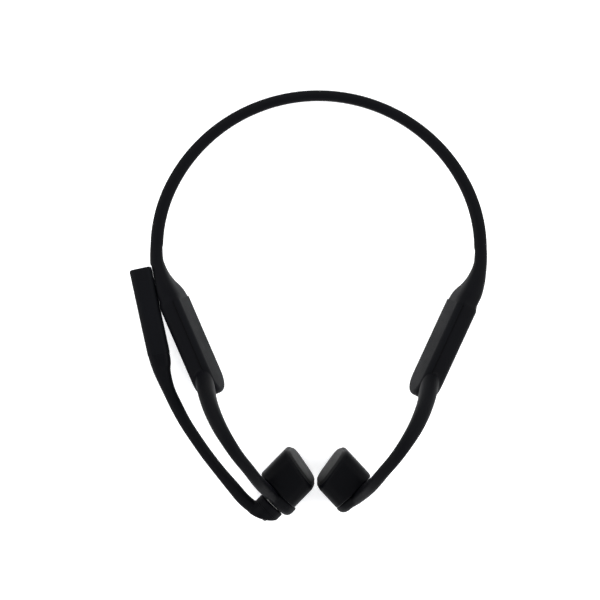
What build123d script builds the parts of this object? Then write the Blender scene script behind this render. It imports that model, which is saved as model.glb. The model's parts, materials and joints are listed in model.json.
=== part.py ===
"""Bone conduction headphones with a folding boom microphone.

Millimetres. +Z up, +Y towards the back of the neck, -Y the way the wearer faces. Pieces on the -X
side are named left and carry the boom; those on the +X side are named right. The origin is on the
surface that the headphones lie on, below the middle of the neckband loop. The left side is modelled
and the right side mirrors it.
"""
from math import atan, cos, degrees, radians, sin, sqrt, tan
import os

from build123d import *

# ---- neckband ----
band_half_width = 63.0       # loop centre-line, middle to side
band_depth = 59.5            # loop centre-line, sides to rear
band_start_y = 22.0          # where the loop's curve begins
band_start_z = 11.0          # height of the centre-line at the sides
band_section_w = 4.4
band_section_h = 4.3
band_corner_r = 1.9
band_side_arc_r = 55.0       # radius of the tighter arcs at the sides
spring_wire_r = 0.6
cable_r = 0.5
running_gap = 0.05           # clearance of inner wires and fitted parts

# ---- housings behind the ears ----
housing_x = 49.1
housing_y = -15.6
housing_z = 10.7
housing_angle = 24.1         # housing axis from the fore-aft line, in plan
housing_lean = 14.0          # top leans outwards
housing_back = -17.0         # rear and front ends along the housing axis
housing_front = 22.5
housing_height = 17.0
housing_thickness = 9.0
housing_front_corner_r = 7.5
housing_edge_r = 3.0
housing_wall = 1.3
cover_depth = 2.1            # inner cover, measured from the inner face
gasket_thickness = 0.4

# ---- pods ----
pod_x = 10.1
pod_y = -67.6
pod_z = 9.5
pod_axis = (0.69, 0.725)     # outward and forward parts of the pod's axis in plan
pod_width = 18.2
pod_offset = 0.3             # pod's middle ahead of its axis
pod_height = 19.0
pod_corner_r = 5.5
pod_outer = 7.2              # pod's outer face along the axis
face_back = -6.4             # middle of the contact face along the axis
face_turn = 11.3             # contact face turned from square to the axis, in plan
face_tilt = 8.0              # contact face tilted upwards
shell_stop = 0.3             # pod shell stops this far behind the contact face
shell_rim_r = 0.7
pad_recess = 1.5             # seat of the contact pad behind its face plane
pad_thickness = 2.0
pad_width = 16.4
pad_height = 17.4
pad_corner_r = 4.8
pad_edge_r = 1.2
cavity_width = 13.4
cavity_height = 14.8
cavity_corner_r = 4.0
cavity_depth = 8.8
plate_thickness = 0.8

# ---- transducer ----
yoke_r = 6.2
yoke_inner_r = 5.0
yoke_base = 1.0
yoke_height = 5.6
magnet_r = 3.4
magnet_height = 3.2
top_plate_height = 0.9
coil_inner_r = 3.8
coil_outer_r = 4.6
coil_height = 3.8

# ---- hook end and boom pivot ----
pivot_offset = 2.5           # pivot ahead of the pod's axis
hook_pad_r = 7.8             # left pad, which carries the boom
hook_pad_back = 12.2         # hook pad's outer face along the pod's axis
hook_pad_edge_r = 2.0
plain_pad_r = 7.4            # right pad
plain_pad_back = 11.9
plain_pad_edge_r = 2.4
hub_r = 5.6
hub_start = 12.5
hub_split = 15.6
hub_top = 22.0
hub_floor = 13.9
hub_cavity_r = 4.6
post_r = 3.05
post_bore_r = 2.3
post_top = 17.2
post_flange_r = 5.0
post_flange_start = 10.6
hub_bore_r = 3.1
ring_start = 14.4
ring_thickness = 0.6
ring_r = 4.3
ring_groove_r = 2.75
washer_start = 13.95
washer_thickness = 0.35
washer_r = 4.5
button_r = 2.8
button_hole_r = 3.1
button_top = 19.3
button_skirt = 17.9
button_stem_r = 2.2
button_stem_start = 11.6
switch_size = 3.0
switch_thickness = 1.2

# ---- boom ----
boom_wire_r = 0.7
mic_head_width = 8.5
mic_head_height = 8.6
mic_head_length = 33.6
mic_head_angle = 13.0        # from the fore-aft line, tip outwards
mic_head_x = 61.4
mic_head_y = -20.5
mic_head_z = 13.6
mic_head_wall = 1.2
mic_split = 0.6              # seam of the head's two covers, above its middle
port_r = 1.3                 # microphone openings
mesh_thickness = 0.3
nest_gap = 0.25              # between the folded head and the neck and housing beside it
nest_rise = 0.7              # extra room at the top of the head's way out
rib_back = -15.7             # thicker housing wall behind the nest, along the housing
rib_front = -10.1
rib_start = 1.8

os.makedirs("parts", exist_ok=True)
nodes = {}


def frame_at(origin, x_dir, z_dir):
    """A working plane at a point, facing z_dir."""
    return Plane(origin=origin, x_dir=x_dir, z_dir=z_dir)


def on(plane, shape):
    """Puts a shape drawn about the global origin onto a plane."""
    return plane.location * shape


def disc(radius, start, height):
    """Cylinder about local Z from start, height long."""
    return Pos(0, 0, start) * Cylinder(radius, height, align=(Align.CENTER, Align.CENTER, Align.MIN))


def ring(outer_r, inner_r, start, height):
    """Flat ring about local Z."""
    return disc(outer_r, start, height) - disc(inner_r, start, height)


def slab(width, height, corner_r, start, thickness):
    """Rounded plate square to local Z."""
    return Pos(0, 0, start) * extrude(RectangleRounded(width, height, corner_r), thickness)


def box_at(x, y, z, size_x, size_y, size_z):
    """Box centred on a local point."""
    return Pos(x, y, z) * Box(size_x, size_y, size_z)


def skin(stations):
    """Smooth body through rounded sections: each station is (point, width, depth)."""
    points = [Vector(*station[0]) for station in stations]
    last = len(points) - 1
    faces = []
    for i, (_, width, depth) in enumerate(stations):
        along = (points[min(i + 1, last)] - points[max(i - 1, 0)]).normalized()
        across = along.cross(Vector(0, 0, 1)).normalized()
        corner = 0.42 * min(width, depth)
        faces.append(frame_at(points[i], across, along) * RectangleRounded(width, depth, corner))
    return loft(faces)


def tube(points, radius, bend=8.0):
    """Round rod along straight runs joined by tangent arcs."""
    corners = [Vector(*p) for p in points]
    bends = []
    for i in range(1, len(corners) - 1):
        run_in = corners[i] - corners[i - 1]
        run_out = corners[i + 1] - corners[i]
        half_turn = radians(run_in.get_angle(run_out)) / 2
        bends.append(min(0.45 * min(run_in.length, run_out.length) / tan(half_turn), 40 * bend))
    path = FilletPolyline(*corners, radius=bends)
    start = Plane(origin=corners[0], z_dir=corners[1] - corners[0])
    return sweep(start * Circle(radius), path=path)


def shifted(points, offset):
    """The same route moved by an offset."""
    return [tuple(a + b for a, b in zip(p, offset)) for p in points]


def to_right(shape):
    """The other side's twin."""
    return mirror(shape, about=Plane.YZ)


def save_pair(name, shape):
    """A left piece and its mirrored right twin."""
    nodes["left_" + name] = shape
    nodes["right_" + name] = to_right(shape)


# ---- working planes of the left side ----
turn = radians(housing_angle)
lean = radians(housing_lean)
forward = Vector(sin(turn), -cos(turn), 0)
outward = Vector(-cos(turn), -sin(turn), 0)
housing_normal = outward * cos(lean) - Vector(0, 0, 1) * sin(lean)
housing_centre = Vector(-housing_x, housing_y, housing_z)
housing_plane = frame_at(housing_centre, forward, housing_normal)

pod_out = Vector(-pod_axis[0], -pod_axis[1], 0).normalized()
pod_ahead = Vector(pod_axis[1], -pod_axis[0], 0).normalized()
pod_centre = Vector(-pod_x, pod_y, pod_z)
pod_plane = frame_at(pod_centre, pod_ahead, pod_out)
pivot_plane = frame_at(pod_centre + pod_ahead * pivot_offset, pod_ahead, pod_out)

face_turned = radians(face_turn)
face_tilted = radians(face_tilt)
face_flat = pod_out * -cos(face_turned) + pod_ahead * sin(face_turned)
face_normal = face_flat * cos(face_tilted) + Vector(0, 0, 1) * sin(face_tilted)
face_along = pod_ahead * cos(face_turned) + pod_out * sin(face_turned)
face_centre = pod_centre + pod_out * face_back + pod_ahead * pod_offset
# local -Z of this plane points into the pod
face_plane = frame_at(face_centre, face_along * -1, face_normal)


head_turn = radians(mic_head_angle)
head_along = Vector(-sin(head_turn), cos(head_turn), 0)
head_out = Vector(-cos(head_turn), -sin(head_turn), 0)
head_start = Vector(-mic_head_x, mic_head_y, mic_head_z)
head_plane = frame_at(head_start, head_out, head_along)


def pod_point(ahead, out, height):
    """A point given by its place ahead of and out along the pod's axis, and its height."""
    flat = pod_centre + pod_ahead * ahead + pod_out * out
    return (flat.X, flat.Y, height)


# ---- neckband: three tangent arcs in a plane that slopes down to the rear ----
flat_half_w = band_section_w / 2 - band_corner_r
flat_half_h = band_section_h / 2 - band_corner_r
slope = atan((band_start_z - band_section_h / 2) / band_depth)
rest_half = flat_half_h * cos(slope) + flat_half_w * sin(slope) + band_corner_r
slope = atan((band_start_z - rest_half) / band_depth)
reach = band_depth / cos(slope)
side_centre_x = band_half_width - band_side_arc_r
short_reach = reach - band_side_arc_r
crown_shift = (side_centre_x ** 2 - short_reach ** 2) / (2 * short_reach)
crown_r = reach + crown_shift
join_angle = degrees(atan(crown_shift / side_centre_x))
band_plane = frame_at(
    (0, band_start_y, band_start_z), (1, 0, 0), (0, sin(slope), cos(slope))
)
side_arc = CenterArc((side_centre_x, 0), band_side_arc_r, 0, join_angle)
crown_arc = CenterArc((0, -crown_shift), crown_r, join_angle, 180 - 2 * join_angle)
other_arc = CenterArc((-side_centre_x, 0), band_side_arc_r, 180 - join_angle, join_angle)
band_path = Wire([side_arc, crown_arc, other_arc])
band_end = frame_at((band_half_width, 0, 0), (1, 0, 0), (0, 1, 0))


def along_band(section, shift):
    """Sweeps a section, moved by shift across the band, round the whole loop."""
    arcs = []
    for arc in (side_arc, crown_arc, other_arc):
        start = Plane(origin=arc @ 0, x_dir=(0, 0, 1), z_dir=arc % 0)
        arcs.append(sweep(start * Pos(*shift) * section, path=arc))
    body = arcs[0]
    for part in arcs[1:]:
        body = body + part
    return on(band_plane, body)


wire_shift = (0.85, 0)
cable_shift = (-0.95, 0)
band_section = RectangleRounded(band_section_h, band_section_w, band_corner_r)
band_solid = along_band(band_section, (0, 0))
band_solid = band_solid - along_band(Circle(spring_wire_r + running_gap), wire_shift)
band_solid = band_solid - along_band(Circle(cable_r + running_gap), cable_shift)
nodes["headband_cover"] = band_solid
nodes["headband_spring_wire"] = along_band(Circle(spring_wire_r), wire_shift)
nodes["headband_cable"] = along_band(Circle(cable_r), cable_shift)


# ---- housings ----
def housing_block(inset):
    """The housing's outer form, shrunk evenly by inset."""
    length = housing_front - housing_back - 2 * inset
    height = housing_height - 2 * inset
    thickness = housing_thickness - 2 * inset
    outline = Rectangle(length, height)
    front = outline.vertices().group_by(Axis.X)[-1]
    outline = fillet(front, housing_front_corner_r - inset)
    block = Pos(0, 0, -thickness / 2) * extrude(outline, thickness)
    rims = block.faces().sort_by(Axis.Z)[0].edges() + block.faces().sort_by(Axis.Z)[-1].edges()
    back_x = -length / 2
    long_edges = [e for e in rims if e.center().X > back_x + 0.01]
    block = fillet(long_edges, housing_edge_r - inset)
    return Pos((housing_back + housing_front) / 2, 0, 0) * block


housing_outer = housing_block(0)
housing_hollow = housing_outer - housing_block(housing_wall)
slice_size = 100.0
inner_face = -housing_thickness / 2
cover_top = inner_face + cover_depth
gasket_top = cover_top + gasket_thickness
cover_zone = box_at(0, 0, cover_top - slice_size / 2, slice_size, slice_size, slice_size)
gasket_zone = box_at(0, 0, cover_top + gasket_thickness / 2, slice_size, slice_size, gasket_thickness)
shell_zone = box_at(0, 0, gasket_top + slice_size / 2, slice_size, slice_size, slice_size)
inner_cover = housing_hollow & cover_zone
housing_gasket = housing_hollow & gasket_zone
housing_shell = housing_hollow & shell_zone

# lead-through in the shell's rear wall for the spring wire and the cable
lead_slot = box_at(housing_back, 0, 0.9, 4.0, 4.2, 1.8)
housing_shell = housing_shell - lead_slot

# room beside the folded microphone head, leaning in towards the top for the head's swing
nest_side = -mic_head_width / 2 - nest_gap
nest_bottom = -mic_head_height / 2
nest_top = 9.0
nest_reach = 10.0
nest_end = mic_head_length + 1.0
nest_outline = Polyline(
    (nest_side, -nest_reach),
    (nest_side, nest_bottom),
    (nest_side - nest_rise, nest_top),
    (nest_reach, nest_top),
    (nest_reach, -nest_reach),
    (nest_side, -nest_reach),
)
nest = on(head_plane, extrude(make_face(nest_outline), nest_end))


def housing_point(along, up, out):
    """A point in the left housing's own directions."""
    p = housing_plane.from_local_coords(Vector(along, up, out))
    return (p.X, p.Y, p.Z)


def bar_in(x, z, length, width, low, high):
    """Oblong bar along local Y, for what sits in the housing's lower wall."""
    base = frame_at((x, low, z), (1, 0, 0), (0, 1, 0))
    return extrude(base * SlotOverall(length, width), high - low)


def pin_in(x, z, radius, low, high):
    """Round pin along local Y."""
    base = frame_at((x, low, z), (1, 0, 0), (0, 1, 0))
    return extrude(base * Circle(radius), high - low)


# ---- necks between the band and the housings ----
neck_shape = [
    # point, width, height, lean
    ((-band_half_width, band_start_y, band_start_z), band_section_w, band_section_h, 0),
    ((-62.75, 15.6, 11.7), 5.0, 6.2, 1),
    ((-61.1, 9.4, 11.8), 6.9, 10.2, 5),
    ((-58.95, 4.8, 11.3), 8.3, 14.2, 10),
]
neck_faces = []
for i, (point, width, height, tilt) in enumerate(neck_shape):
    if i == 0:
        along = Vector(0, -cos(slope), sin(slope))
    elif i == 1:
        along = Vector(0.12, -0.99, 0.05).normalized()
    elif i == 2:
        along = Vector(0.36, -0.93, 0).normalized()
    else:
        along = Vector(0.41, -0.91, -0.05).normalized()
    flat = along.cross(Vector(0, 0, 1)).normalized()
    out = flat * cos(radians(tilt)) - Vector(0, 0, 1) * sin(radians(tilt))
    corner = band_corner_r if i == 0 else 0.4 * width
    neck_faces.append(frame_at(Vector(*point), out, along) * RectangleRounded(width, height, corner))
neck_end = frame_at(Vector(*housing_point(housing_back, 0, 0)), housing_normal, forward)
neck_faces.append(neck_end * RectangleRounded(housing_thickness, housing_height, housing_edge_r))
neck_body = loft(neck_faces)

band_tip = Vector(-band_half_width, band_start_y, band_start_z)
band_tangent = Vector(0, -cos(slope), sin(slope))
band_normal = Vector(0, sin(slope), cos(slope))
lead_run = 4.5
lead_route = [
    tuple(band_tip),
    tuple(band_tip + band_tangent * lead_run),
    (-61.7, 11.6, 11.8),
    (-59.2, 5.6, 11.4),
    housing_point(housing_back - 0.5, 0, 0.9),
    housing_point(-12.5, 0, 0.9),
]
channel_r = 1.55
channel_route = [tuple(band_tip - band_tangent)] + lead_route[1:]
neck_body = neck_body - tube(channel_route, channel_r)
nodes["left_neck_boot"] = neck_body - nest
nodes["right_neck_boot"] = to_right(neck_body)

wire_rise = tuple(band_normal * wire_shift[0])
cable_rise = tuple(band_normal * cable_shift[0])
left_lead = tube(shifted(lead_route, wire_rise), spring_wire_r)
left_cable = tube(shifted(lead_route, cable_rise), cable_r)
nodes["headband_spring_wire"] = nodes["headband_spring_wire"] + left_lead + to_right(left_lead)
nodes["headband_cable"] = nodes["headband_cable"] + left_cable + to_right(left_cable)

# ---- pods ----
pod_front = -10.5
pod_block = slab(pod_width, pod_height, pod_corner_r, pod_front, pod_outer - pod_front)
pod_block = fillet(pod_block.faces().sort_by(Axis.Z)[-1].edges(), 1.2)
pod_block = on(pod_plane, Pos(pod_offset, 0, 0) * pod_block)
past_front = slice_size / 2 - shell_stop
ahead_of_face = on(face_plane, box_at(0, 0, past_front, slice_size, slice_size, slice_size))
pod_outer_form = pod_block - ahead_of_face
front_rim = pod_outer_form.faces().sort_by_distance(face_centre)[0].edges()
pod_outer_form = fillet(front_rim, shell_rim_r)
cavity_floor = -pad_recess - cavity_depth
pod_cavity = slab(cavity_width, cavity_height, cavity_corner_r, cavity_floor, cavity_depth)
pad_seat = slab(pad_width, pad_height, pad_corner_r, -pad_recess, pad_thickness)
pod_shell = pod_outer_form - on(face_plane, pod_cavity) - on(face_plane, pad_seat)

contact_pad = slab(pad_width, pad_height, pad_corner_r, -pad_recess, pad_thickness)
contact_pad = fillet(contact_pad.faces().sort_by(Axis.Z)[-1].edges(), pad_edge_r)

plate_start = -pad_recess - plate_thickness
suspension = slab(
    cavity_width - 2 * running_gap,
    cavity_height - 2 * running_gap,
    cavity_corner_r - running_gap,
    plate_start,
    plate_thickness,
)
magnet_start = cavity_floor + yoke_base
top_plate_start = magnet_start + magnet_height
yoke = disc(yoke_r, cavity_floor, yoke_height) - disc(yoke_inner_r, magnet_start, yoke_height)
save_pair("pod_shell", pod_shell)
save_pair("contact_pad", on(face_plane, contact_pad))
save_pair("suspension_plate", on(face_plane, suspension))
save_pair("transducer_yoke", on(face_plane, yoke))
save_pair("transducer_magnet", on(face_plane, disc(magnet_r, magnet_start, magnet_height)))
save_pair("transducer_top_plate", on(face_plane, disc(magnet_r, top_plate_start, top_plate_height)))
coil = ring(coil_outer_r, coil_inner_r, plate_start - coil_height, coil_height)
save_pair("voice_coil", on(face_plane, coil))

# ---- ear hooks ----
hook_shape = [
    # point, width across, depth in the hook's own plane
    ((-43.9, -28.2, 12.5), 7.4, 12.5),
    ((-42.9, -33.0, 19.5), 7.0, 10.0),
    ((-41.5, -37.7, 26.5), 6.5, 8.0),
    ((-39.6, -42.2, 31.6), 6.2, 7.0),
    ((-36.9, -47.4, 35.6), 5.8, 6.2),
    ((-33.5, -52.8, 37.8), 5.3, 5.6),
    ((-29.7, -58.3, 37.6), 4.9, 5.4),
    ((-25.8, -63.3, 34.4), 4.7, 5.6),
    (pod_point(-8.6, 8.4, 28.6), 4.7, 6.6),
    (pod_point(-5.0, 9.3, 21.5), 4.8, 8.5),
    (pod_point(-1.4, 9.5, 14.0), 4.8, 10.5),
    (pod_point(0.8, 9.5, 9.0), 4.8, 11.0),
]
hook_body = skin(hook_shape)
hook_body = hook_body - on(housing_plane, housing_outer) - pod_outer_form
hook_body = hook_body.solids().sort_by(SortBy.VOLUME)[-1]
pivot_pad = disc(hook_pad_r, pod_outer, hook_pad_back - pod_outer)
pivot_pad = fillet(pivot_pad.faces().sort_by(Axis.Z)[-1].edges(), hook_pad_edge_r)
plain_pad = disc(plain_pad_r, pod_outer, plain_pad_back - pod_outer)
plain_pad = fillet(plain_pad.faces().sort_by(Axis.Z)[-1].edges(), plain_pad_edge_r)
pivot_hook = hook_body + on(pivot_plane, pivot_pad)
plain_hook = hook_body + on(pivot_plane, plain_pad)
hook_route = [housing_point(17.0, 5.0, 0)] + [station[0] for station in hook_shape[2:9]]
hook_route = hook_route + [pod_point(-3.2, 9.4, 17.0)]
hook_out = Vector(-0.866, -0.5, 0)
hook_wire_route = shifted(hook_route, tuple(hook_out * -0.65))
hook_cable_route = shifted(hook_route, tuple(hook_out * 0.95))
hook_channels = tube(hook_wire_route, spring_wire_r + running_gap) + tube(
    hook_cable_route, cable_r + running_gap
)
pivot_hook = pivot_hook - hook_channels
plain_hook = plain_hook - hook_channels
save_pair("hook_wire", tube(hook_wire_route, spring_wire_r))
save_pair("hook_cable", tube(hook_cable_route, cable_r))


# ---- left housing: battery ----
battery = box_at(2.5, 0, 0.2, 25.0, 12.4, 5.0)
battery = fillet(battery.edges().filter_by(Axis.X), 1.2)
nodes["battery_cell"] = on(housing_plane, battery)
nodes["battery_board"] = on(housing_plane, box_at(-13.2, 0, -2.5, 3.4, 11.0, 0.8))

# ---- right housing: board, controls and charging port in the lower wall ----
wall_in = -housing_height / 2 + housing_wall
wall_out = -housing_height / 2
button_length = 7.0
button_width = 2.4
button_proud = 0.5
button_gap = 0.2
flange_extra = 1.2
flange_thickness = 0.5
button_end = wall_in + 0.6
plunger_r = 0.7
plunger_start = button_end + 0.55
switch_start = plunger_start + 0.45
button_places = {"volume_down": -8.0, "volume_up": 0.5}
right_shell = housing_shell
for name, place in button_places.items():
    slot_length = button_length + 2 * button_gap
    slot = bar_in(place, 0, slot_length, button_width + 2 * button_gap, wall_out - 1, wall_in + 1)
    right_shell = right_shell - slot
    key = bar_in(place, 0, button_length, button_width, wall_out - button_proud, button_end)
    flange_low = wall_in + running_gap
    flange_high = flange_low + flange_thickness
    flange_width = button_width + flange_extra
    key = key + bar_in(place, 0, button_length + flange_extra, flange_width, flange_low, flange_high)
    switch = box_at(place, switch_start + 0.8, 0.5, 3.2, 1.6, 2.4)
    switch = switch + pin_in(place, 0.5, plunger_r, plunger_start, switch_start)
    nodes[name + "_button"] = to_right(on(housing_plane, key))
    nodes[name + "_switch"] = to_right(on(housing_plane, switch))

port_place = 10.2
port_length = 8.4
port_width = 2.6
port_depth = 2.5
contact_spacing = 4.4
contact_r = 0.55
light_place = 5.1
light_r = 0.55
port_form = bar_in(port_place, 0, port_length, port_width, wall_out - 1, wall_out + port_depth)
port_body = bar_in(port_place, 0, port_length, port_width, wall_out + 0.3, wall_out + port_depth)
contacts = None
for side in (-1, 1):
    pin = pin_in(port_place + side * contact_spacing / 2, 0, contact_r, wall_out + 0.1, wall_out + 1.2)
    port_body = port_body - pin
    contacts = pin if contacts is None else contacts + pin
light = pin_in(light_place, 0, light_r, wall_out, wall_in)
right_shell = right_shell - port_form - light
nodes["charging_port"] = to_right(on(housing_plane, port_body))
nodes["charging_contacts"] = to_right(on(housing_plane, contacts))
nodes["status_light_lens"] = to_right(on(housing_plane, light))
nodes["main_board"] = to_right(on(housing_plane, box_at(1.0, 0.6, -1.2, 26.0, 11.6, 0.8)))
nodes["shield_can"] = to_right(on(housing_plane, box_at(5.5, 2.2, -0.1, 13.0, 7.4, 1.4)))

rib_centre = (rib_back + rib_front) / 2
rib_length = rib_front - rib_back
rib = box_at(rib_centre, 0, rib_start + housing_wall, rib_length, housing_height, 2 * housing_wall)
left_shell = housing_shell + (rib & housing_outer)
left_shell = on(housing_plane, left_shell) - hook_channels - nest
right_shell = on(housing_plane, right_shell) - hook_channels
nodes["left_housing_shell"] = left_shell
nodes["right_housing_shell"] = to_right(right_shell)
save_pair("housing_inner_cover", on(housing_plane, inner_cover))
save_pair("housing_gasket", on(housing_plane, housing_gasket))

# ---- hook ends; the left one carries the boom's pivot ----
nodes["right_hook_cover"] = to_right(plain_hook)
switch_pocket = box_at(0, 0, 10.0, switch_size + 0.4, switch_size + 0.4, 1.4)
pivot_recess = disc(post_flange_r + running_gap, post_flange_start, 5.0) + switch_pocket
nodes["left_hook_cover"] = pivot_hook - on(pivot_plane, pivot_recess)
post = disc(post_flange_r, post_flange_start, hook_pad_back - post_flange_start)
post = post + disc(post_r, hook_pad_back, post_top - hook_pad_back)
post = post - disc(post_bore_r, post_flange_start - 1, 10.0)
post = post - ring(post_r + 1, ring_groove_r, ring_start, ring_thickness)
retainer = ring(ring_r, ring_groove_r, ring_start, ring_thickness)
washer = ring(washer_r, post_r + running_gap, washer_start, washer_thickness)
button = disc(button_r, button_skirt, button_top - button_skirt)
button = fillet(button.faces().sort_by(Axis.Z)[-1].edges(), 0.5)
button = button + disc(button_stem_r, button_stem_start, button_skirt - button_stem_start)
pivot_switch = box_at(0, 0, 9.95, switch_size, switch_size, switch_thickness)
pivot_switch = pivot_switch + disc(plunger_r, 10.55, 0.5)
nodes["boom_pivot_post"] = on(pivot_plane, post)
nodes["pivot_retaining_ring"] = on(pivot_plane, retainer)
nodes["pivot_wave_washer"] = on(pivot_plane, washer)
nodes["multifunction_button"] = on(pivot_plane, button)
nodes["multifunction_switch"] = on(pivot_plane, pivot_switch)

# ---- boom hub ----
hub_base = disc(hub_r, hub_start, hub_split - hub_start)
hub_base = fillet(hub_base.faces().sort_by(Axis.Z)[0].edges(), 0.5)
hub_base = hub_base - disc(hub_bore_r, hub_start - 1, 5.0)
hub_base = hub_base - disc(hub_cavity_r, hub_floor, hub_split)
dome = ThreePointArc((5.95, hub_split), (0.9, 19.3), (-6.1, 21.2))
dome_sides = Polyline((-6.1, 21.2), (-6.1, hub_split), (5.95, hub_split))
dome_form = extrude(Plane.XZ * make_face([dome, dome_sides]), 8.0, both=True)
hub_cap = disc(hub_r, hub_split, hub_top - hub_split) & dome_form
hub_cap = hub_cap - disc(button_hole_r, hub_split - 1, 10.0)
nodes["boom_hub_base"] = on(pivot_plane, hub_base)

# ---- boom arm ----
before_head = head_start - head_along * 3.5
arm_shape = [
    (pod_point(-1.6, 18.5, 9.6), 4.9, 5.6),
    (pod_point(-7.0, 18.9, 9.8), 4.8, 5.4),
    ((-31.8, -72.2, 10.2), 4.7, 5.2),
    ((-37.4, -65.6, 10.7), 4.6, 5.0),
    ((-42.4, -59.3, 11.2), 4.6, 5.0),
    ((-46.9, -53.0, 11.7), 4.6, 5.0),
    ((-51.0, -46.8, 12.1), 4.7, 5.0),
    ((-54.4, -40.6, 12.5), 4.9, 5.2),
    ((-57.5, -34.2, 12.9), 5.0, 5.6),
    ((-59.9, -27.6, 13.3), 6.5, 7.0),
    (tuple(before_head), 7.9, 8.1),
    (tuple(head_start), 8.4, 8.5),
]
arm_body = skin(arm_shape)
hub_form = on(pivot_plane, disc(hub_r, hub_start, hub_top - hub_start))
arm_body = (arm_body - hub_form).solids().sort_by(SortBy.VOLUME)[-1]
behind_head = on(head_plane, Pos(0, 0, slice_size / 2) * Box(slice_size, slice_size, slice_size))
arm_body = arm_body - behind_head
arm_route = [pod_point(-5.0, 18.8, 9.75)] + [station[0] for station in arm_shape[2:10]]
arm_route = arm_route + [tuple(head_start + head_along * 2.0)]
arm_wire = tube(arm_route, boom_wire_r)
arm_body = arm_body - tube(arm_route, boom_wire_r + running_gap)
nodes["boom_hub_cap"] = on(pivot_plane, hub_cap)
nodes["boom_arm"] = arm_body
nodes["boom_arm_wire"] = arm_wire

# ---- microphone head ----
head_block = slab(mic_head_width, mic_head_height, 2.2, 0, mic_head_length)
head_block = fillet(head_block.faces().sort_by(Axis.Z)[-1].edges(), 1.0)
inner_w = mic_head_width - 2 * mic_head_wall
inner_h = mic_head_height - 2 * mic_head_wall
inner_l = mic_head_length - 2 * mic_head_wall
head_shell = head_block - slab(inner_w, inner_h, 0.5, mic_head_wall, inner_l)
head_shell = head_shell - disc(boom_wire_r + 3 * running_gap, -1, 4.0)
port_y = -1.1
noise_port_z = 27.0
voice_port = Pos(0, port_y, mic_head_length - 3) * Cylinder(port_r, 6.0)
noise_port = Pos(mic_head_width / 2, port_y, noise_port_z) * Rot(0, 90, 0) * Cylinder(port_r, 5.0)
head_shell = head_shell - voice_port - noise_port
upper_zone = box_at(0, mic_split + slice_size / 2, 0, slice_size, slice_size, slice_size)
lower_zone = box_at(0, mic_split - slice_size / 2, 0, slice_size, slice_size, slice_size)
nodes["mic_head_upper_cover"] = on(head_plane, head_shell & upper_zone)
nodes["mic_head_lower_cover"] = on(head_plane, head_shell & lower_zone)
mesh = Cylinder(port_r, mesh_thickness)
nodes["voice_mic_mesh"] = on(head_plane, Pos(0, port_y, mic_head_length - 0.5) * mesh)
nodes["noise_mic_mesh"] = on(
    head_plane, Pos(mic_head_width / 2 - 0.5, port_y, noise_port_z) * Rot(0, 90, 0) * mesh
)
capsule_w = 2.4
capsule_t = 1.0
nodes["voice_mic"] = on(
    head_plane,
    box_at(0, port_y, mic_head_length - mic_head_wall - capsule_t / 2, 3.6, capsule_w, capsule_t),
)
nodes["noise_mic"] = on(
    head_plane, box_at(inner_w / 2 - capsule_t / 2, port_y, noise_port_z, capsule_t, capsule_w, 3.6)
)
nodes["mic_board"] = on(head_plane, box_at(0, 1.3, 17.5, 4.6, 0.8, 27.0))

for name, shape in nodes.items():
    export_step(shape, f"parts/{name}.step")
    count = len(shape.solids())
    print(f"{name:28s} solids {count} volume {shape.volume:9.2f} valid {shape.is_valid}")
print(len(nodes), "nodes")
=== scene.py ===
import json
from math import atan, cos, pi, radians, sin

import bmesh
import bpy
from mathutils import Matrix, Vector


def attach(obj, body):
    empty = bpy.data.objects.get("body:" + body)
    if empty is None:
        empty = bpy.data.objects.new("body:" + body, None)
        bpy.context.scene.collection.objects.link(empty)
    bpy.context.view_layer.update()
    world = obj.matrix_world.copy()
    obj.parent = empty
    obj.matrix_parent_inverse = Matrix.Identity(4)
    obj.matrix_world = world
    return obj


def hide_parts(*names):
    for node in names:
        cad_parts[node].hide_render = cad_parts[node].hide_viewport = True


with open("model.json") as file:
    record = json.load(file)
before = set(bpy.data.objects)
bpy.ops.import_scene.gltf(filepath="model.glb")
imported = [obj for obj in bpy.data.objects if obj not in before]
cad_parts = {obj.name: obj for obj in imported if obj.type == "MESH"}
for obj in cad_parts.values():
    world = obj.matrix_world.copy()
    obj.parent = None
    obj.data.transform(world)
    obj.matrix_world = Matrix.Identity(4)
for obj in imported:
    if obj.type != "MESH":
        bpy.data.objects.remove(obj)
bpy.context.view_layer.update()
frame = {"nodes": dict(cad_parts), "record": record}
record = frame["record"]
nodes = frame["nodes"]
scene = bpy.context.scene
MM = 0.001
UP = Vector((0, 0, 1))


# ---------------------------------------- frames
def frame_at(origin, x_dir, z_dir):
    """Matrix from a local frame to the record's frame, both in millimetres."""
    z = Vector(z_dir).normalized()
    x = Vector(x_dir)
    x = (x - z * x.dot(z)).normalized()
    y = z.cross(x)
    m = Matrix((x, y, z)).transposed().to_4x4()
    m.translation = Vector(origin)
    return m


def mirrored(points):
    return [Vector((-p.x, p.y, p.z)) for p in points]


joint = next(j for j in record["behaviour"]["joints"] if j["name"] == "boom_swing")
out_dir = -Vector(joint["axis"]).normalized()
pivot_point = Vector(joint["pos_m"]) * 1000
PAD_BACK = 12.2
PIVOT_OFFSET = 2.5
ahead_dir = Vector((-out_dir.y, out_dir.x, 0))
pivot = frame_at(pivot_point - out_dir * PAD_BACK, ahead_dir, out_dir)
pod_centre = pivot_point - out_dir * PAD_BACK - ahead_dir * PIVOT_OFFSET
pod = frame_at(pod_centre, ahead_dir, out_dir)
pad_mount = next(m for m in record["mounts"] if m["name"] == "left_pad_face")
face_normal = Vector(pad_mount["axis"]).normalized()
face_along = Vector((-face_normal.y, face_normal.x, 0)).normalized()
PAD_PROUD = 0.5
face = frame_at(Vector(pad_mount["pos_m"]) * 1000 - face_normal * PAD_PROUD, face_along, face_normal)

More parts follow.
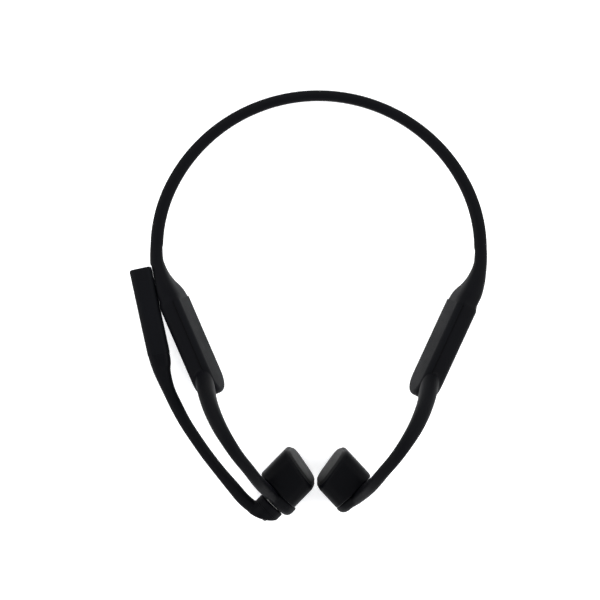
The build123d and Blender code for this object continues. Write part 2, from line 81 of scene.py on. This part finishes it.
turn = radians(24.1)
lean = radians(14.0)
forward = Vector((sin(turn), -cos(turn), 0))
outward = Vector((-cos(turn), -sin(turn), 0))
housing_normal = outward * cos(lean) - UP * sin(lean)
housing = frame_at((-49.1, -15.6, 10.7), forward, housing_normal)
H_BACK, H_FRONT, H_HEIGHT, H_THICK = -17.0, 22.5, 17.0, 9.0

HEAD_TURN = radians(13.0)
HEAD_L, HEAD_W, HEAD_H = 33.6, 8.5, 8.6
head_along = Vector((-sin(HEAD_TURN), cos(HEAD_TURN), 0))
head_out = Vector((-cos(HEAD_TURN), -sin(HEAD_TURN), 0))
head_start = Vector((-61.4, -20.5, 13.6))
head = frame_at(head_start, head_out, head_along)


def pod_point(ahead, out, height):
    p = pod @ Vector((ahead, 0, out))
    return Vector((p.x, p.y, height))


# ---------------------------------------- mesh helpers, in millimetres
def make(name, rings_list, close_ends=True):
    """One object from lists of rings: each list is a closed body of rings with equal point counts."""
    bm = bmesh.new()
    for rings in rings_list:
        rows = [[bm.verts.new(p * MM) for p in ring] for ring in rings]
        count = len(rows[0])
        for a, b in zip(rows, rows[1:]):
            for i in range(count):
                j = (i + 1) % count
                bm.faces.new((a[i], a[j], b[j], b[i]))
        if close_ends:
            bm.faces.new(list(reversed(rows[0])))
            bm.faces.new(rows[-1])
    bmesh.ops.recalc_face_normals(bm, faces=bm.faces)
    me = bpy.data.meshes.new(name)
    bm.to_mesh(me)
    bm.free()
    o = bpy.data.objects.new(name, me)
    scene.collection.objects.link(o)
    return o


def smooth(o, angle=38):
    for p in o.data.polygons:
        p.use_smooth = True
    o.data.set_sharp_from_angle(angle=radians(angle))


def bake_modifiers(o):
    dg = bpy.context.evaluated_depsgraph_get()
    me = bpy.data.meshes.new_from_object(o.evaluated_get(dg))
    old = o.data
    o.modifiers.clear()
    o.data = me
    bpy.data.meshes.remove(old)


def fuse(o, voxel, passes, factor=0.5):
    """One closed skin round overlapping bodies, with soft fillets where they meet."""
    m = o.modifiers.new("fuse", "REMESH")
    m.mode = "VOXEL"
    m.voxel_size = voxel * MM
    s = o.modifiers.new("soften", "SMOOTH")
    s.iterations = passes
    s.factor = factor
    bake_modifiers(o)


def cut(o, cutter):
    b = o.modifiers.new("cut", "BOOLEAN")
    b.operation = "DIFFERENCE"
    b.solver = "EXACT"
    b.object = cutter
    bake_modifiers(o)
    bpy.data.objects.remove(cutter)


def oval(w, h, e, n=40):
    """Superellipse, 2 round and higher squarer, in the local XY plane."""
    pts = []
    for i in range(n):
        t = 2 * pi * i / n
        c, s = cos(t), sin(t)
        x = (abs(c) ** (2 / e)) * (1 if c >= 0 else -1) * w / 2
        y = (abs(s) ** (2 / e)) * (1 if s >= 0 else -1) * h / 2
        pts.append(Vector((x, y, 0)))
    return pts


def rounded(w, h, radii, arc=8, straight=6):
    """Rounded rectangle with four corner radii: +x+y, -x+y, -x-y, +x-y."""
    corners = ((1, 1), (-1, 1), (-1, -1), (1, -1))
    pts = []
    for k, ((sx, sy), r) in enumerate(zip(corners, radii)):
        cx, cy = sx * (w / 2 - r), sy * (h / 2 - r)
        a0 = k * pi / 2
        for i in range(arc + 1):
            a = a0 + (pi / 2) * i / arc
            pts.append(Vector((cx + r * cos(a), cy + r * sin(a), 0)))
        nx, ny = corners[(k + 1) % 4]
        rn = radii[(k + 1) % 4]
        ncx, ncy = nx * (w / 2 - rn), ny * (h / 2 - rn)
        a1 = a0 + pi / 2
        nxt = Vector((ncx + rn * cos(a1), ncy + rn * sin(a1), 0))
        last = pts[-1]
        for i in range(1, straight):
            pts.append(last.lerp(nxt, i / straight))
    return pts


def prism(w, h, radii, z0, z1, edge0, edge1, steps=6, warp=None, centre=(0, 0), crown=0.0):
    """Rings of a rounded block along local Z with rounded rims. warp moves a point's z."""
    rings = []

    def ring(inset, z):
        rr = [max(r - inset, 0.05) for r in radii]
        pts = rounded(w - 2 * inset, h - 2 * inset, rr)
        return [Vector((p.x + centre[0], p.y + centre[1], z)) for p in pts]

    inner = min(w, h) / 2 - 0.6
    if crown:
        rings.append(ring(inner, z0))
    for i in range(steps + 1) if edge0 else (steps,):
        a = (pi / 2) * i / steps
        rings.append(ring(edge0 * (1 - sin(a)), z0 + edge0 * (1 - cos(a))))
    for i in range(steps + 1) if edge1 else (0,):
        a = (pi / 2) * i / steps
        rings.append(ring(edge1 * (1 - cos(a)), z1 - edge1 * (1 - sin(a))))
    if crown:
        for i in range(1, 7):
            f = i / 6
            inset = edge1 + (inner - edge1) * f
            rings.append(ring(inset, z1 + crown * (1 - (1 - f) ** 2)))
    if warp:
        rings = [[Vector((p.x, p.y, warp(p))) for p in r] for r in rings]
    return rings


def placed(rings, m):
    return [[m @ p for p in ring] for ring in rings]


def both(rings):
    return [mirrored(r) for r in rings]


def spline(values, count):
    """Catmull-Rom curve through rows of numbers, sampled evenly by index."""
    rows = [tuple(v) for v in values]
    rows = [tuple(2 * a - b for a, b in zip(rows[0], rows[1]))] + rows
    rows = rows + [tuple(2 * a - b for a, b in zip(rows[-1], rows[-2]))]
    out = []
    spans = len(rows) - 3
    for k in range(count):
        u = spans * k / (count - 1)
        i = min(int(u), spans - 1)
        t = u - i
        p0, p1, p2, p3 = rows[i:i + 4]
        out.append(tuple(
            0.5 * (
                2 * b + (c - a) * t
                + (2 * a - 5 * b + 4 * c - d) * t * t
                + (3 * b - a - 3 * c + d) * t ** 3
            )
            for a, b, c, d in zip(p0, p1, p2, p3)
        ))
    return out


def skin(stations, count, around=40):
    """Rings through stations (x, y, z, width, depth, squareness, lean)."""
    rows = spline(stations, count)
    pts = [Vector(r[:3]) for r in rows]
    rings = []
    for i, r in enumerate(rows):
        a = pts[max(i - 1, 0)]
        b = pts[min(i + 1, count - 1)]
        along = (b - a).normalized()
        across = along.cross(UP).normalized()
        if r[6]:
            tip = radians(r[6])
            across = (across * cos(tip) - UP * sin(tip))
            across = (across - along * across.dot(along)).normalized()
        m = frame_at(pts[i], across, along)
        rings.append([m @ p for p in oval(r[3], r[4], r[5], around)])
    return rings


# ---------------------------------------- materials
CLOUD_SCALE = 90.0
ROUGH_SPREAD = 0.06
BUMP_DEPTH = 0.00005
BRUSH_STRETCH = (1.0, 1.0, 0.08)


def material(name, colour, rough, grain, grain_size=0.25, mottle=0.15, metal=0.0,
             coat=0.0, specular=0.5, brushed=False):
    """Procedural moulded or metal finish: mottled colour, uneven roughness, fine grain."""
    mat = bpy.data.materials.new(name)
    mat.use_nodes = True
    nt = mat.node_tree
    bsdf = nt.nodes["Principled BSDF"]
    tc = nt.nodes.new("ShaderNodeTexCoord")
    cloud = nt.nodes.new("ShaderNodeTexNoise")
    cloud.inputs["Scale"].default_value = CLOUD_SCALE
    cloud.inputs["Detail"].default_value = 4.0
    nt.links.new(tc.outputs["Object"], cloud.inputs["Vector"])
    ramp = nt.nodes.new("ShaderNodeValToRGB")
    ramp.color_ramp.elements[0].position = 0.3
    ramp.color_ramp.elements[1].position = 0.7
    ramp.color_ramp.elements[0].color = [c * (1 - mottle) for c in colour] + [1]
    ramp.color_ramp.elements[1].color = [min(c * (1 + mottle), 1) for c in colour] + [1]
    nt.links.new(cloud.outputs["Fac"], ramp.inputs["Fac"])
    nt.links.new(ramp.outputs["Color"], bsdf.inputs["Base Color"])
    spread = nt.nodes.new("ShaderNodeMapRange")
    spread.inputs["From Min"].default_value = 0.25
    spread.inputs["From Max"].default_value = 0.75
    spread.inputs["To Min"].default_value = rough - ROUGH_SPREAD
    spread.inputs["To Max"].default_value = rough + ROUGH_SPREAD
    nt.links.new(cloud.outputs["Fac"], spread.inputs["Value"])
    nt.links.new(spread.outputs["Result"], bsdf.inputs["Roughness"])
    bsdf.inputs["Metallic"].default_value = metal
    bsdf.inputs["Specular IOR Level"].default_value = specular
    if coat:
        bsdf.inputs["Coat Weight"].default_value = coat
        bsdf.inputs["Coat Roughness"].default_value = 0.25
    fine = nt.nodes.new("ShaderNodeTexNoise")
    fine.inputs["Scale"].default_value = 1.0 / (grain_size * MM)
    fine.inputs["Detail"].default_value = 2.0
    if brushed:
        stretch = nt.nodes.new("ShaderNodeMapping")
        stretch.inputs["Scale"].default_value = BRUSH_STRETCH
        nt.links.new(tc.outputs["Object"], stretch.inputs["Vector"])
        nt.links.new(stretch.outputs["Vector"], fine.inputs["Vector"])
    else:
        nt.links.new(tc.outputs["Object"], fine.inputs["Vector"])
    bump = nt.nodes.new("ShaderNodeBump")
    bump.inputs["Strength"].default_value = grain
    bump.inputs["Distance"].default_value = BUMP_DEPTH
    nt.links.new(fine.outputs["Fac"], bump.inputs["Height"])
    nt.links.new(bump.outputs["Normal"], bsdf.inputs["Normal"])
    return mat


FINISHES = {
    "silicone_black": dict(colour=(0.0011, 0.0012, 0.0019), rough=0.55, grain=0.35, specular=0.05),
    "silicone_grey": dict(colour=(0.0042, 0.0043, 0.0044), rough=0.55, grain=0.3, specular=0.09),
    "plastic_black": dict(
        colour=(0.0009, 0.0010, 0.0015), rough=0.50, grain=0.4, grain_size=0.18, specular=0.045
    ),
    "plastic_charcoal": dict(
        colour=(0.0016, 0.0018, 0.0026), rough=0.62, grain=0.4, grain_size=0.16, specular=0.05
    ),
    "button_black": dict(colour=(0.0030, 0.0030, 0.0036), rough=0.42, grain=0.2, specular=0.15),
    "seal_rubber": dict(colour=(0.001, 0.001, 0.0012), rough=0.75, grain=0.3, specular=0.04),
    "spring_metal": dict(colour=(0.62, 0.60, 0.57), rough=0.32, grain=0.2, metal=1.0, brushed=True),
    "cable_black": dict(colour=(0.02, 0.02, 0.02), rough=0.5, grain=0.3),
    "copper_coil": dict(colour=(0.72, 0.38, 0.20), rough=0.3, grain=0.5, metal=1.0, brushed=True),
    "magnet_metal": dict(colour=(0.70, 0.70, 0.72), rough=0.18, grain=0.05, metal=1.0),
    "yoke_steel": dict(colour=(0.55, 0.56, 0.58), rough=0.34, grain=0.2, metal=1.0, brushed=True),
    "battery_foil": dict(colour=(0.70, 0.71, 0.73), rough=0.36, grain=0.4, metal=1.0, grain_size=0.8),
    "circuit_board": dict(colour=(0.02, 0.12, 0.06), rough=0.4, grain=0.2, mottle=0.3),
    "switch_metal": dict(colour=(0.60, 0.60, 0.60), rough=0.3, grain=0.2, metal=1.0),
    "contact_gold": dict(colour=(0.85, 0.62, 0.28), rough=0.22, grain=0.1, metal=1.0),
    "mesh_metal": dict(colour=(0.06, 0.06, 0.065), rough=0.45, grain=1.0, grain_size=0.35, metal=0.6),
    "light_lens": dict(colour=(0.55, 0.58, 0.60), rough=0.2, grain=0.05, coat=0.6),
}
MATS = {slot: material(slot, **finish) for slot, finish in FINISHES.items()}
for part in record["subparts"]:
    o = nodes[part["node"]]
    o.data.materials.clear()
    o.data.materials.append(MATS[part["material_slot"]])


def piece(o, body, slot, *replaced):
    o.data.materials.clear()
    o.data.materials.append(MATS[slot])
    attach(o, body)
    if replaced:
        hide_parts(*replaced)


# ---------------------------------------- silicone skin: band, necks, housings and hooks
BAND_Y, BAND_Z, BAND_W, BAND_DEEP = 22.0, 11.0, 63.0, 59.5
SECTION_W, SECTION_H, CORNER = 4.4, 4.3, 1.9
slope = atan((BAND_Z - SECTION_H / 2) / BAND_DEEP)
rest_half = (SECTION_H / 2 - CORNER) * cos(slope) + (SECTION_W / 2 - CORNER) * sin(slope) + CORNER
slope = atan((BAND_Z - rest_half) / BAND_DEEP)
reach = BAND_DEEP / cos(slope)
SIDE_R = 55.0
side_x = BAND_W - SIDE_R
short = reach - SIDE_R
crown_y = (side_x ** 2 - short ** 2) / (2 * short)
crown_r = reach + crown_y
join = atan(crown_y / side_x)


def band_at(t):
    """Point and direction on the loop, t from 0 on the right to 1 on the left."""
    side_len = SIDE_R * join
    crown_len = crown_r * (pi - 2 * join)
    total = 2 * side_len + crown_len
    s = t * total
    if s < side_len:
        a = s / SIDE_R
        x, y = side_x + SIDE_R * cos(a), SIDE_R * sin(a)
    elif s < side_len + crown_len:
        a = join + (s - side_len) / crown_r
        x, y = crown_r * cos(a), crown_r * sin(a) - crown_y
    else:
        a = pi - (total - s) / SIDE_R
        x, y = -side_x + SIDE_R * cos(a), SIDE_R * sin(a)
    return Vector((x, BAND_Y + y * cos(slope), BAND_Z - y * sin(slope))), a


INWARD = 0.15
BAND_END_W, BAND_TAPER = 5.1, 0.8
BAND_SQUARENESS = 2.45


def band_rings(count):
    rings = []
    tilt = Vector((0, sin(slope), cos(slope)))
    for i in range(count):
        t = i / (count - 1)
        p, a = band_at(t)
        along = Vector((-sin(a), cos(a) * cos(slope), -cos(a) * sin(slope)))
        across = along.cross(tilt).normalized()
        w = BAND_END_W - BAND_TAPER * sin(pi * t) ** 2
        m = frame_at(p - across * INWARD, across, along)
        rings.append([m @ q for q in oval(w, SECTION_H, BAND_SQUARENESS)])
    return rings


neck_tip = housing @ Vector((H_BACK + 1.2, 0, 0))
neck_mid = housing @ Vector((H_BACK - 2.0, 0, 0))
neck = [
    (-63.0, 23.5, 10.75, 4.7, 4.2, 2.45, 0),
    (-63.0, 20.0, 11.2, 4.95, 4.7, 2.45, 0),
    (-62.75, 15.6, 11.65, 5.3, 6.2, 2.5, 1),
    (-61.4, 10.2, 11.75, 6.9, 9.8, 2.7, 5),
    (-59.4, 5.6, 11.35, 8.4, 13.8, 3.1, 9),
    (neck_mid.x, neck_mid.y, neck_mid.z, 9.0, 16.7, 3.7, 13.5),
    (neck_tip.x, neck_tip.y, neck_tip.z, 9.0, 17.0, 4.2, 14),
]
hook = [
    (-44.0, -27.2, 11.0, 7.4, 13.0, 2.6, 0),
    (-42.9, -33.0, 19.5, 7.0, 10.2, 2.6, 0),
    (-41.5, -37.7, 26.5, 6.5, 8.0, 2.6, 0),
    (-39.6, -42.2, 31.6, 6.2, 7.0, 2.6, 0),
    (-36.9, -47.4, 35.6, 5.8, 6.2, 2.6, 0),
    (-33.5, -52.8, 37.8, 5.3, 5.6, 2.6, 0),
    (-29.7, -58.3, 37.6, 4.9, 5.4, 2.7, 0),
    (-25.8, -63.3, 34.4, 4.7, 5.6, 2.8, 0),
    (*pod_point(-8.6, 8.8, 28.6), 4.7, 6.6, 3.0, 0),
    (*pod_point(-5.0, 9.3, 21.5), 4.8, 8.5, 3.2, 0),
    (*pod_point(-1.4, 9.5, 14.0), 4.8, 10.5, 3.2, 0),
    (*pod_point(0.8, 9.5, 9.0), 4.8, 11.0, 3.2, 0),
]
h_len = H_FRONT - H_BACK
h_mid = (H_FRONT + H_BACK) / 2


def square_back(rings):
    """Housing form whose rounded rear is cut off flat."""
    return [[Vector((max(p.x, H_BACK), p.y, p.z)) for p in ring] for ring in rings]


BACK_SPARE = 4.0
long_centre = (h_mid - BACK_SPARE / 2, 0)
BLOCK_CORNERS = (7.5, 3.5, 3.5, 7.5)
BLOCK_EDGE = 3.0
POD_BACK = 7.2
SKIN_VOXEL = 0.32
block = prism(
    h_len + BACK_SPARE, H_HEIGHT, BLOCK_CORNERS, -H_THICK / 2, H_THICK / 2, BLOCK_EDGE, BLOCK_EDGE,
    centre=long_centre,
)
block = placed(square_back(block), housing)


def round_pad(r, top, edge):
    """Foot of a hook on the pod's back."""
    return placed(prism(2 * r, 2 * r, (r - 0.01,) * 4, POD_BACK, top, 0.3, edge, steps=7), pivot)


left_rings = [skin(neck, 40), skin(hook, 90), block, round_pad(8.0, 12.2, 2.6)]
right_rings = [both(skin(neck, 40)), both(skin(hook, 90)), both(block), both(round_pad(7.3, 11.2, 2.8))]
silicone = make("headset_skin", [band_rings(150)] + left_rings + right_rings)
fuse(silicone, SKIN_VOXEL, 4)

# the folded microphone head lies in a shallow nest beside the left neck
NEST_GAP, NEST_LEAN = 0.08, 0.3
NEST_LOW, NEST_HIGH, NEST_OUT = -11.0, 9.0, 10.0
NEST_LENGTH = HEAD_L + 0.9
nest_side = -HEAD_W / 2 - NEST_GAP
nest_form = (
    (nest_side, NEST_LOW), (nest_side, -HEAD_H / 2), (nest_side - NEST_LEAN, NEST_HIGH),
    (NEST_OUT, NEST_HIGH), (NEST_OUT, NEST_LOW),
)
nest_rings = [[head @ Vector((x, y, z)) for x, y in nest_form] for z in (0.0, NEST_LENGTH)]
cut(silicone, make("nest", [nest_rings]))
fuse(silicone, SKIN_VOXEL, 6)

# room for the inner covers, and on the right for the keys, port and light in the lower wall
COVER = 2.1
SEAL = 0.4
seam = -H_THICK / 2 + COVER + SEAL
LID_ROOM_CORNERS = (7.6, 2.1, 2.1, 7.6)
LID_ROOM_START = -8.0
lid_room = prism(
    h_len + 0.1, H_HEIGHT + 0.3, LID_ROOM_CORNERS, LID_ROOM_START, seam, 0, 0, steps=1,
    centre=(h_mid + 0.1, 0),
)
lid_room = placed(lid_room, housing)


def slot_in(x, length, width, low, high, edge=0.0):
    """Oblong through the housing's lower wall: local Y runs from low to high."""
    r = width / 2 - 0.001
    m = housing @ frame_at((x, 0, 0), (1, 0, 0), (0, 1, 0))
    return placed(prism(length, width, (r,) * 4, low, high, edge, 0.0, steps=4 if edge else 1), m)


KEYS = {"volume_down": -8.0, "volume_up": 0.5}
KEY_L, KEY_W, KEY_GAP = 7.0, 2.4, 0.2
PORT_X, PORT_L, PORT_W = 10.2, 8.5, 2.7
LIGHT_X, LIGHT_D = 5.1, 1.16
BELOW_WALL, POCKET_FLOOR, PORT_FLOOR = -10.5, -7.0, -6.2
cutters = [lid_room, both(lid_room)]
for x in KEYS.values():
    cutters.append(both(slot_in(x, KEY_L + 2 * KEY_GAP, KEY_W + 2 * KEY_GAP, BELOW_WALL, POCKET_FLOOR)))
cutters.append(both(slot_in(PORT_X, PORT_L, PORT_W, BELOW_WALL, PORT_FLOOR)))
cutters.append(both(slot_in(LIGHT_X, LIGHT_D, LIGHT_D, BELOW_WALL, POCKET_FLOOR)))
for rings in cutters:
    cut(silicone, make("cutter", [rings]))
smooth(silicone, 50)
piece(
    silicone, "headset", "silicone_black", "headband_cover", "left_neck_boot", "right_neck_boot",
    "left_housing_shell", "right_housing_shell", "left_hook_cover", "right_hook_cover",
)

# ---------------------------------------- inner covers
lid_top = -H_THICK / 2 + COVER
lid = prism(
    h_len + BACK_SPARE, H_HEIGHT, BLOCK_CORNERS, -H_THICK / 2, lid_top, 2.0, 0.12, steps=8,
    centre=long_centre,
)
lid = placed(square_back(lid), housing)
for side, rings in (("left", lid), ("right", both(lid))):
    o = make(side + "_inner_cover_panel", [rings])
    smooth(o)
    piece(o, "headset", "plastic_charcoal", side + "_housing_inner_cover")

# ---------------------------------------- pods and contact faces
front = face @ Vector((0, 0, -0.3))
pod_inv = pod.inverted()
front_l = pod_inv @ front
normal_l = (pod_inv.to_3x3() @ face_normal).normalized()


POD_W, POD_H, POD_CORNER = 18.2, 19.0, 5.5
POD_FRONT, POD_DEPTH = -6.8, 14.0
CONTACT_W, CONTACT_H, CONTACT_CORNER = 16.4, 17.4, 4.8


def on_front(p):
    """Squeezes the block's front to the slanted plane behind the contact face."""
    plane_z = front_l.z - (normal_l.x * (p.x - front_l.x) + normal_l.y * (p.y - front_l.y)) / normal_l.z
    f = (POD_BACK - p.z) / POD_DEPTH
    return POD_BACK - f * (POD_BACK - plane_z)


body = prism(
    POD_W, POD_H, (POD_CORNER,) * 4, POD_FRONT, POD_BACK, 1.6, 0.7, warp=on_front, centre=(0.3, 0)
)
contact = prism(CONTACT_W, CONTACT_H, (CONTACT_CORNER,) * 4, -1.5, 0.4, 0.15, 1.3, crown=0.16)
for side, turn_over in (("left", lambda r: r), ("right", both)):
    o = make(side + "_pod_body", [turn_over(placed(body, pod))])
    smooth(o)
    piece(o, "headset", "plastic_black", side + "_pod_shell")
    o = make(side + "_contact_face", [turn_over(placed(contact, face))])
    smooth(o)
    piece(o, "headset", "silicone_grey", side + "_contact_pad")

# ---------------------------------------- boom: hub and arm in one, with the button's well
before = head_start - head_along * 3.5
arm = [
    (*pod_point(-1.6, 18.5, 9.6), 5.0, 5.8, 2.5, 0),
    (*pod_point(-7.0, 18.8, 9.8), 5.1, 5.5, 2.5, 0),
    (-31.7, -72.3, 10.2, 5.0, 5.3, 2.5, 0),
    (-37.4, -65.6, 10.7, 4.6, 5.0, 2.5, 0),
    (-42.4, -59.3, 11.2, 4.6, 5.0, 2.5, 0),
    (-46.9, -53.0, 11.7, 4.6, 5.0, 2.5, 0),
    (-51.0, -46.8, 12.1, 4.7, 5.0, 2.5, 0),
    (-54.4, -40.6, 12.5, 4.9, 5.2, 2.5, 0),
    (-57.5, -34.2, 12.9, 5.0, 5.6, 2.6, 0),
    (-59.9, -27.6, 13.3, 6.5, 7.0, 2.9, 0),
    (*before, 7.9, 8.1, 3.4, 0),
    (*(head_start + head_along * 0.4), 8.4, 8.5, 3.8, 0),
]
HUB_R, HUB_START, HUB_DEPTH = 5.6, 12.5, 8.0
DOME_POINTS = ((5.95, 15.6), (0.9, 19.3), (-6.1, 21.2))
BOOM_VOXEL = 0.24
WELL_D = 6.2
GROOVE_FLOOR_R, GROOVE_OUT_R = 5.3, 7.0
GROOVE_LOW, GROOVE_HIGH = 15.52, 15.72
GROOVE_SIDES = 64


def dome(x):
    """Height of the hub's outer face at x ahead of the pivot: an arc falling to the front."""
    (x1, y1), (x2, y2), (x3, y3) = DOME_POINTS
    s1, s2, s3 = x1 ** 2 + y1 ** 2, x2 ** 2 + y2 ** 2, x3 ** 2 + y3 ** 2
    d = 2 * (x1 * (y2 - y3) + x2 * (y3 - y1) + x3 * (y1 - y2))
    ux = (s1 * (y2 - y3) + s2 * (y3 - y1) + s3 * (y1 - y2)) / d
    uy = (s1 * (x3 - x2) + s2 * (x1 - x3) + s3 * (x2 - x1)) / d
    r2 = (x1 - ux) ** 2 + (y1 - uy) ** 2
    return uy + (r2 - (x - ux) ** 2) ** 0.5


def on_dome(p):
    """Stretches the hub from its flat start to the dome."""
    f = (p.z - HUB_START) / HUB_DEPTH
    return HUB_START + f * (dome(p.x) - HUB_START)


hub = prism(
    2 * HUB_R, 2 * HUB_R, (HUB_R - 0.01,) * 4, HUB_START, HUB_START + HUB_DEPTH, 0.5, 0.9, steps=7,
    warp=on_dome,
)
boom = make("boom_body", [placed(hub, pivot), skin(arm, 110)])
fuse(boom, BOOM_VOXEL, 7)
well = prism(WELL_D, WELL_D, (WELL_D / 2 - 0.01,) * 4, 10.0, 26.0, 0, 0, steps=1)
cut(boom, make("boom_cutters", [placed(well, pivot)]))

# a fine groove round the hub, where its base and cap meet
groove_section = (
    (GROOVE_FLOOR_R, GROOVE_LOW), (GROOVE_OUT_R, GROOVE_LOW),
    (GROOVE_OUT_R, GROOVE_HIGH), (GROOVE_FLOOR_R, GROOVE_HIGH),
)
angles = [2 * pi * k / GROOVE_SIDES for k in range(GROOVE_SIDES)]
groove_rings = [[pivot @ Vector((r * cos(a), r * sin(a), z)) for a in angles] for r, z in groove_section]
groove = make("groove", [groove_rings + [groove_rings[0]]], close_ends=False)
bm = bmesh.new()
bm.from_mesh(groove.data)
bmesh.ops.remove_doubles(bm, verts=bm.verts, dist=1e-7)
bmesh.ops.recalc_face_normals(bm, faces=bm.faces)
bm.to_mesh(groove.data)
bm.free()
cut(boom, groove)
smooth(boom, 50)
piece(boom, "boom", "silicone_black", "boom_hub_base", "boom_hub_cap", "boom_arm")

# ---------------------------------------- microphone head: two covers with a fine seam
TIP = 34.1
SEAM_W, SEAM_Y = 0.14, 0.6
HOLE_D, HOLE_Y, HOLE_DEPTH = 2.6, -1.1, 1.2
SIDE_HOLE_Z = 27.0
shell = prism(HEAD_W, HEAD_H, (2.2,) * 4, 0.0, TIP, 0.25, 1.0, steps=6)
mic_head = make("mic_head_body", [placed(shell, head)])
seam_cut = placed(prism(12, SEAM_W, (0.01,) * 4, 1.2, 40, 0, 0, steps=1, centre=(0, SEAM_Y)), head)
cut(mic_head, make("seam_cut", [seam_cut]))


def sound_hole(outside, spare, centre=(0, 0)):
    """Round cutter along local Z, from inside the wall to beyond its outer face."""
    corner = (HOLE_D / 2 - 0.01,) * 4
    return prism(HOLE_D, HOLE_D, corner, outside - HOLE_DEPTH, outside + spare, 0, 0, steps=1, centre=centre)


tip_hole = placed(sound_hole(HEAD_L, 3, centre=(0, HOLE_Y)), head)
cut(mic_head, make("tip_hole", [tip_hole]))
side_frame = frame_at((0, HOLE_Y, SIDE_HOLE_Z), (0, 0, 1), (1, 0, 0))
side_hole = placed(placed(sound_hole(HEAD_W / 2, 2), side_frame), head)
cut(mic_head, make("side_hole", [side_hole]))
smooth(mic_head)
piece(mic_head, "boom", "plastic_charcoal", "mic_head_upper_cover", "mic_head_lower_cover")

# ---------------------------------------- keys
CAP_D, CAP_LOW, CAP_TOP = 5.6, 17.9, 19.3
cap = prism(CAP_D, CAP_D, (CAP_D / 2 - 0.01,) * 4, CAP_LOW, CAP_TOP, 0.1, 0.55, crown=0.12)
o = make("multifunction_cap", [placed(cap, pivot)])
smooth(o)
piece(o, "multifunction_key", "button_black", "multifunction_button")
KEY_LOW, KEY_TOP = -9.0, -6.7
for name, x in KEYS.items():
    o = make(name + "_key_top", [both(slot_in(x, KEY_L, KEY_W, KEY_LOW, KEY_TOP, edge=0.4))])
    smooth(o)
    piece(o, name + "_key", "button_black", name + "_button")

# ---------------------------------------- floor, light, camera, in metres
FLOOR_SPAN, FLOOR_Z = 3.0, -0.0001
floor = bpy.data.meshes.new("floor")
floor_corners = [(x * FLOOR_SPAN, y * FLOOR_SPAN, FLOOR_Z) for x, y in ((-1, -1), (1, -1), (1, 1), (-1, 1))]
floor.from_pydata(floor_corners, [], [(0, 1, 2, 3)])
floor_o = bpy.data.objects.new("floor", floor)
scene.collection.objects.link(floor_o)
pale = bpy.data.materials.new("pale_floor")
pale.use_nodes = True
pb = pale.node_tree.nodes["Principled BSDF"]
pb.inputs["Base Color"].default_value = (0.93, 0.93, 0.93, 1)
pb.inputs["Roughness"].default_value = 0.9
pb.inputs["Specular IOR Level"].default_value = 0.1
pb.inputs["Emission Color"].default_value = (1, 1, 1, 1)
pb.inputs["Emission Strength"].default_value = 0.35
floor.materials.append(pale)

world = bpy.data.worlds.new("studio")
scene.world = world
world.use_nodes = True
world.node_tree.nodes["Background"].inputs["Color"].default_value = (0.95, 0.97, 1.0, 1)
world.node_tree.nodes["Background"].inputs["Strength"].default_value = 0.75


def softbox(name, place, size, power):
    light = bpy.data.lights.new(name, "AREA")
    light.shape = "RECTANGLE"
    light.size, light.size_y = size
    light.energy = power
    o = bpy.data.objects.new(name, light)
    scene.collection.objects.link(o)
    o.location = place
    aim = Vector((0, 0, 0)) - Vector(place)
    o.rotation_euler = aim.to_track_quat("-Z", "Y").to_euler()


softbox("left_soft", (-1.2, 0.1, 0.9), (1.4, 1.0), 15)
softbox("right_soft", (1.2, 0.1, 0.9), (1.4, 1.0), 15)
softbox("rear_soft", (0.0, 1.3, 1.0), (1.6, 1.0), 14)
softbox("front_soft", (0.0, -1.3, 1.0), (1.6, 1.0), 12)

cam = bpy.data.cameras.new("camera")
cam_o = bpy.data.objects.new("camera", cam)
scene.collection.objects.link(cam_o)
scene.camera = cam_o
CAM_HEIGHT = 1.0
VIEW_WIDTH = 0.2333
SENSOR = 36.0
cam.sensor_width = SENSOR
cam.lens = SENSOR * (CAM_HEIGHT - 0.01) / VIEW_WIDTH
cam.clip_start = 0.01
cam_o.location = (-0.0070, 0.0012, CAM_HEIGHT)
cam_o.rotation_euler = (0, 0, radians(0.7))
scene.view_settings.view_transform = "Standard"

bpy.context.view_layer.update()
